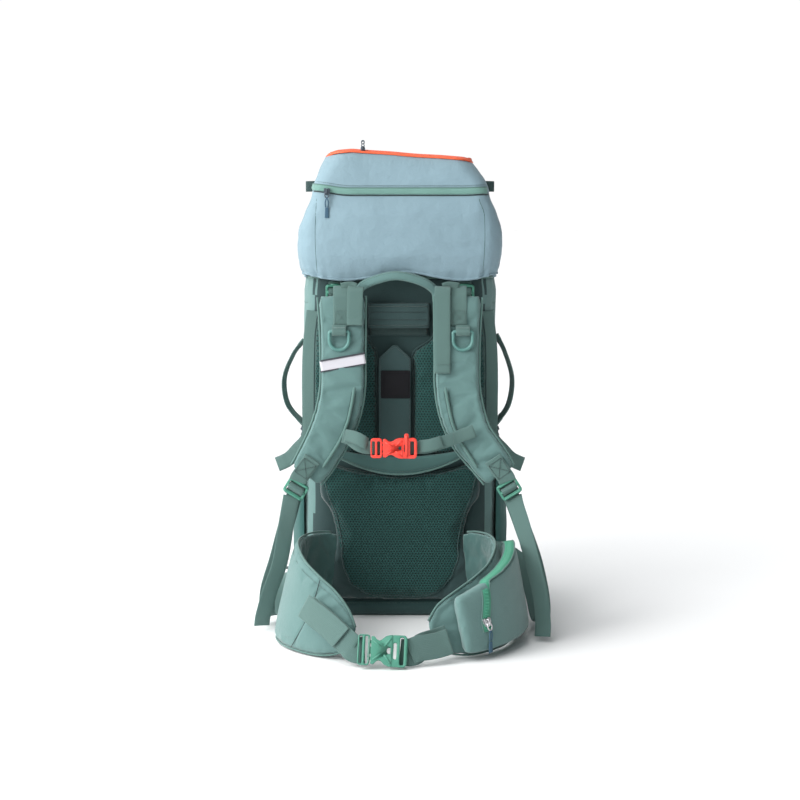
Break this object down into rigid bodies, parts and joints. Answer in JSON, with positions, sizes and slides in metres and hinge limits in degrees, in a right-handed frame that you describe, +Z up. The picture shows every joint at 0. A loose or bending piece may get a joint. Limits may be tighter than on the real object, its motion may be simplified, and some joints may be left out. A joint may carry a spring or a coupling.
{
  "type": "hiking backpack",
  "caption": "Top-loading framed hiking backpack with a hinged lid, padded harness, sternum strap and hip belt with a zipped pocket.",
  "frame": {"origin": "on the ground under the middle of the flat base panel", "axes": "+Z up, -Y towards the wearer (harness side), +X to the right seen from the harness side"},
  "size_m": [0.4582, 0.5654, 0.7474],
  "materials": {
    "pack_cloth": "woven nylon",
    "lid_cloth": "coated nylon",
    "pad_cloth": "woven nylon over foam",
    "mesh": "open mesh over foam",
    "webbing": "woven webbing",
    "dark_webbing": "woven webbing",
    "buckle_green": "satin",
    "buckle_red": "satin",
    "zip_orange": "zip tape",
    "zip_green": "zip tape",
    "slider_dark": "satin",
    "slider_silver": "brushed",
    "label_white": "plain",
    "label_black": "plain",
    "sheet_plastic": "smooth",
    "stay_alloy": "satin"
  },
  "bodies": {
    "pack": {"main_bag": "pack_cloth", "base_panel": "pack_cloth", "storm_collar": "lid_cloth", "frame_sheet": "sheet_plastic", "frame_stays": "stay_alloy", "hydration_sleeve": "pack_cloth", "back_pads": "mesh", "lumbar_pad": "mesh", "lumbar_cover": "pad_cloth", "torso_ladder": "dark_webbing", "torso_strap": "dark_webbing", "torso_patch": "label_black", "side_pocket_left": "mesh", "side_pocket_right": "mesh", "side_loops": "dark_webbing", "front_pocket": "pack_cloth", "front_zip_track": "zip_orange", "lid_anchor_webbing": "webbing", "lid_anchor_buckles": "buckle_green", "side_handles": "webbing", "side_handle_buckles": "buckle_green", "stabiliser_straps": "webbing", "lower_webbing_left": "webbing", "lower_webbing_right": "webbing", "lid_front_sockets": "buckle_green", "lid_socket_webbing": "webbing", "harness_yoke": "dark_webbing", "shoulder_pad_left": "pad_cloth", "shoulder_pad_right": "pad_cloth", "load_lifters": "webbing", "strap_label": "label_white", "sternum_rails": "pad_cloth", "lock_anchors": "webbing", "shoulder_ladder_locks": "buckle_green", "d_ring_keepers": "webbing", "sternum_webbing": "webbing", "sternum_socket": "buckle_red", "hip_wing_left": "pad_cloth", "hip_wing_right": "pad_cloth", "hip_pocket": "pad_cloth", "hip_zip_track": "zip_green", "belt_webbing_left": "webbing", "belt_webbing_right": "webbing", "belt_buckle_socket": "buckle_green"},
    "lid": {"lid_shell": "lid_cloth", "lid_liner": "lid_cloth", "lid_side_tabs": "dark_webbing", "lid_rear_zip_track": "zip_green", "lid_top_zip_track": "zip_orange", "lid_front_straps": "webbing", "lid_front_plugs": "buckle_green"},
    "lid_rear_slider": {"lid_rear_zip_slider": "slider_dark"},
    "lid_top_slider": {"lid_top_zip_slider": "slider_dark"},
    "front_slider": {"front_zip_slider": "slider_silver"},
    "hip_slider": {"hip_zip_slider": "slider_silver"},
    "left_ring": {"d_ring_left": "buckle_green"},
    "right_ring": {"d_ring_right": "buckle_green"},
    "haul_handle": {"haul_loop": "webbing"},
    "sternum_release": {"sternum_plug": "buckle_red"},
    "belt_release": {"belt_buckle_plug": "buckle_green"}
  },
  "joints": [
    {"name": "lid_hinge", "type": "hinge", "parent": "pack", "child": "lid", "pos_m": [0, -0.128, 0.572], "axis": [1, 0, 0], "range_deg": [0, 110]},
    {"name": "lid_rear_zip", "type": "slide", "parent": "lid", "child": "lid_rear_slider", "axis": [1, 0, 0], "range_m": [0, 0.218]},
    {"name": "lid_top_zip", "type": "slide", "parent": "lid", "child": "lid_top_slider", "axis": [1, 0, 0], "range_m": [0, 0.114]},
    {"name": "front_zip", "type": "slide", "parent": "pack", "child": "front_slider", "axis": [1, 0, 0], "range_m": [0, 0.15]},
    {"name": "hip_zip", "type": "slide", "parent": "pack", "child": "hip_slider", "axis": [-0.2614, 0.0052, 0.9652], "range_m": [0, 0.042]},
    {"name": "left_ring_swing", "type": "hinge", "parent": "pack", "child": "left_ring", "pos_m": [-0.094, -0.1594, 0.464], "axis": [-1, 0, 0], "range_deg": [0, 150]},
    {"name": "right_ring_swing", "type": "hinge", "parent": "pack", "child": "right_ring", "pos_m": [0.097, -0.1594, 0.464], "axis": [-1, 0, 0], "range_deg": [0, 150]},
    {"name": "haul_loop_swing", "type": "hinge", "parent": "pack", "child": "haul_handle", "pos_m": [0, -0.123, 0.509], "axis": [1, 0, 0], "range_deg": [0, 12]},
    {"name": "sternum_plug_slide", "type": "slide", "parent": "pack", "child": "sternum_release", "axis": [-1, 0, 0], "range_m": [0, 0.026]},
    {"name": "belt_plug_slide", "type": "slide", "parent": "pack", "child": "belt_release", "axis": [-0.9986, 0, 0.0523], "range_m": [0, 0.026]}
  ]
}
